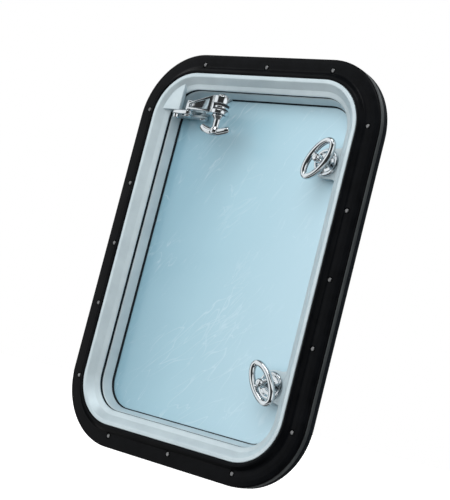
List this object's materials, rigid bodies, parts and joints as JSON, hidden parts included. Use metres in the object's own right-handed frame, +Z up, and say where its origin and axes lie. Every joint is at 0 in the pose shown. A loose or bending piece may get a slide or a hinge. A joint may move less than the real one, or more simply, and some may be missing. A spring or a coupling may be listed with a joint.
{
  "type": "opening porthole",
  "caption": "Rectangular opening porthole with rounded corners: black trim ring, stepped cast frame, hinged glazed sash, ring-handled dogs and a folding friction stay.",
  "frame": {"origin": "centre of the opening, on the plane where the flange gasket meets the hull", "axes": "+Z up, +Y outboard through the hull, +X to the right as seen from inside the boat"},
  "size_m": [0.328, 0.0718, 0.45],
  "materials": {
    "cast_aluminium": "satin silver anodised casting",
    "black_coating": "smooth satin black coating",
    "black_rubber": "matt black",
    "polished_steel": "mirror polished stainless steel",
    "brushed_steel": "plain stainless steel",
    "toughened_glass": "clear, pale blue, with a protective film on its inner face",
    "nylon": "plain dark grey"
  },
  "bodies": {
    "frame": {"main_frame": "cast_aluminium", "trim_ring": "black_coating", "flange_gasket": "black_rubber", "frame_seal": "black_rubber", "trim_screw_01": "brushed_steel", "trim_screw_02": "brushed_steel", "trim_screw_03": "brushed_steel", "trim_screw_04": "brushed_steel", "trim_screw_05": "brushed_steel", "trim_screw_06": "brushed_steel", "trim_screw_07": "brushed_steel", "trim_screw_08": "brushed_steel", "trim_screw_09": "brushed_steel", "trim_screw_10": "brushed_steel", "trim_screw_11": "brushed_steel", "trim_screw_12": "brushed_steel", "trim_screw_13": "brushed_steel", "trim_screw_14": "brushed_steel", "trim_screw_15": "brushed_steel", "trim_screw_16": "brushed_steel", "stay_bracket": "polished_steel", "stay_bracket_screw": "polished_steel", "stay_frame_pin": "polished_steel", "hinge_pin_upper": "polished_steel", "hinge_pin_lower": "polished_steel"},
    "sash": {"sash_frame": "cast_aluminium", "front_glazing_gasket": "black_rubber", "glass_pane": "toughened_glass", "rear_glazing_tape": "black_rubber", "glazing_bead": "cast_aluminium", "sash_hinge_arm_upper": "cast_aluminium", "sash_hinge_arm_lower": "cast_aluminium", "hinge_screw_upper_1": "brushed_steel", "hinge_screw_upper_2": "brushed_steel", "hinge_screw_lower_1": "brushed_steel", "hinge_screw_lower_2": "brushed_steel", "dog_base_upper": "polished_steel", "dog_base_lower": "polished_steel", "stay_sash_pin": "polished_steel"},
    "upper_dog": {"dog_handle_upper": "polished_steel", "dog_spindle_upper": "polished_steel", "dog_cap_upper": "polished_steel", "dog_nut_upper": "brushed_steel"},
    "lower_dog": {"dog_handle_lower": "polished_steel", "dog_spindle_lower": "polished_steel", "dog_cap_lower": "polished_steel", "dog_nut_lower": "brushed_steel"},
    "stay_arm": {"stay_arm": "polished_steel", "friction_washer_upper": "nylon", "friction_washer_lower": "nylon", "stay_elbow_bolt": "polished_steel"},
    "stay_link": {"stay_link": "polished_steel"},
    "wing_knob": {"wing_knob": "polished_steel"}
  },
  "joints": [
    {"name": "sash_hinge", "type": "hinge", "parent": "frame", "child": "sash", "pos_m": [-0.1465, 0.0197, 0], "axis": [0, 0, 1], "range_deg": [0, 80]},
    {"name": "stay_arm_pivot", "type": "hinge", "parent": "frame", "child": "stay_arm", "pos_m": [-0.094, -0.0143, 0.1585], "axis": [0, 0, 1], "range_deg": [0, 80]},
    {"name": "stay_elbow", "type": "hinge", "parent": "stay_arm", "child": "stay_link", "pos_m": [-0.0286, -0.0363, 0.1564], "axis": [0, 0, 1], "range_deg": [-80, 0]},
    {"name": "wing_knob_turn", "type": "hinge", "parent": "stay_arm", "child": "wing_knob", "pos_m": [-0.0286, -0.0363, 0.128], "axis": [0, 0, 1], "range_deg": [-180, 180]},
    {"name": "upper_dog_turn", "type": "hinge", "parent": "sash", "child": "upper_dog", "pos_m": [0.1024, -0.0198, 0.1175], "axis": [0, -1, 0], "range_deg": [-59, 31]},
    {"name": "lower_dog_turn", "type": "hinge", "parent": "sash", "child": "lower_dog", "pos_m": [0.1024, -0.0198, -0.1175], "axis": [0, -1, 0], "range_deg": [-37, 53]}
  ],
  "couplings": [
    {"joint": "stay_arm_pivot", "follows": "sash_hinge", "ratio": 1},
    {"joint": "stay_elbow", "follows": "sash_hinge", "ratio": -1}
  ]
}
